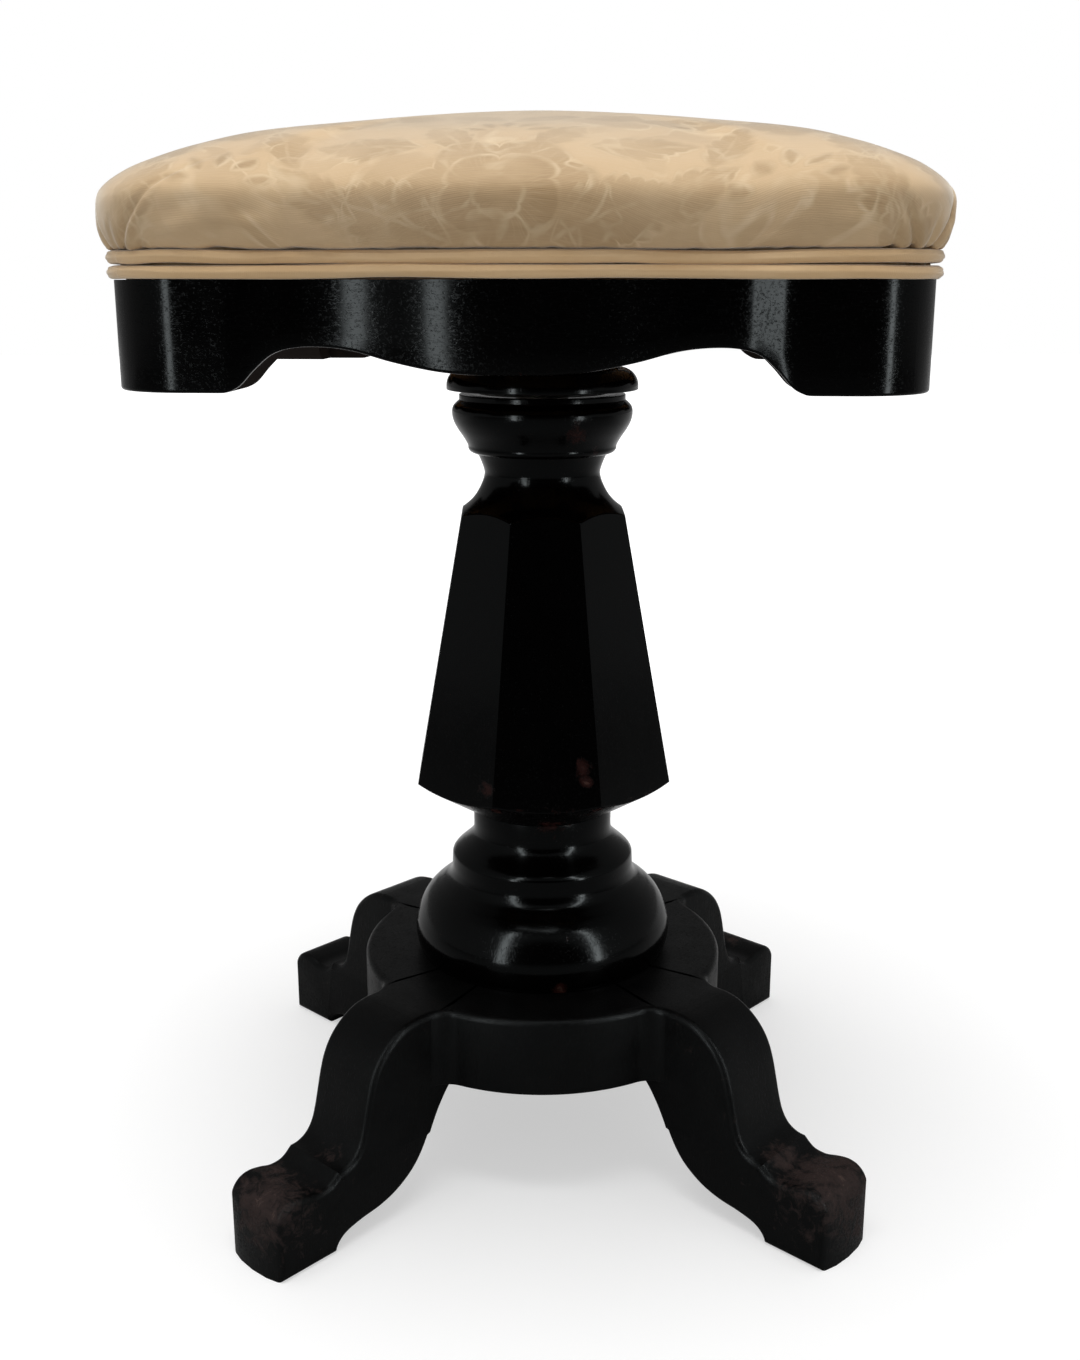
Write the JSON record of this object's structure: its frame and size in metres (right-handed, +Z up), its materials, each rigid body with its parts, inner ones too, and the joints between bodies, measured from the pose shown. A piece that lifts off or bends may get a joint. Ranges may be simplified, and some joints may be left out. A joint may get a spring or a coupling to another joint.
{
  "type": "revolving piano stool",
  "caption": "Revolving piano stool with a padded serpentine seat on an iron screw, a faceted ebonised column and scroll legs on a bowed platform.",
  "frame": {"origin": "on the floor, on the axis of the column and the screw, midway between the four feet", "axes": "+Z up along the column, -Y towards the front, +X to the right; the legs lie on the diagonals"},
  "size_m": [0.3548, 0.3548, 0.5076],
  "materials": {
    "ebonised_wood": "ebonised mahogany, French polished, worn through to red-brown wood on edges",
    "bare_wood": "planed pine and beech, unfinished",
    "iron": "dark iron, oiled",
    "silk_damask": "champagne silk damask, satin figure on a matt ground",
    "piping_silk": "double piping cord covered in plain silk",
    "horsehair": "teased horsehair under calico"
  },
  "bodies": {
    "base": {"platform": "ebonised_wood", "leg_front_left": "ebonised_wood", "leg_front_right": "ebonised_wood", "leg_rear_left": "ebonised_wood", "leg_rear_right": "ebonised_wood", "leg_dowels": "bare_wood", "column_base": "ebonised_wood", "column_shaft": "ebonised_wood", "column_capital": "ebonised_wood", "tenon_wedge": "bare_wood", "screw_nut": "iron", "nut_screws": "iron"},
    "stop_washer": {"stop_washer": "iron"},
    "seat": {"screw_spindle": "iron", "stop_bolt": "iron", "seat_boss": "ebonised_wood", "seat_plate": "iron", "boss_screws": "iron", "plate_screws": "iron", "seat_bearer": "bare_wood", "apron_front": "ebonised_wood", "apron_right": "ebonised_wood", "apron_rear": "ebonised_wood", "apron_left": "ebonised_wood", "corner_blocks": "bare_wood", "seat_board": "bare_wood", "board_screws": "iron", "seat_stuffing": "horsehair", "seat_cover": "silk_damask", "piping_lower": "piping_silk", "piping_upper": "piping_silk"}
  },
  "joints": [
    {"name": "seat_rise", "type": "slide", "parent": "base", "child": "stop_washer", "axis": [0, 0, 1], "range_m": [0, 0.088]},
    {"name": "seat_turn", "type": "hinge", "parent": "stop_washer", "child": "seat", "pos_m": [0, 0, 0.2566], "axis": [0, 0, 1], "range_deg": [0, 3960]}
  ],
  "couplings": [
    {"joint": "seat_rise", "follows": "seat_turn", "m_per_rad": 0.0012732}
  ]
}
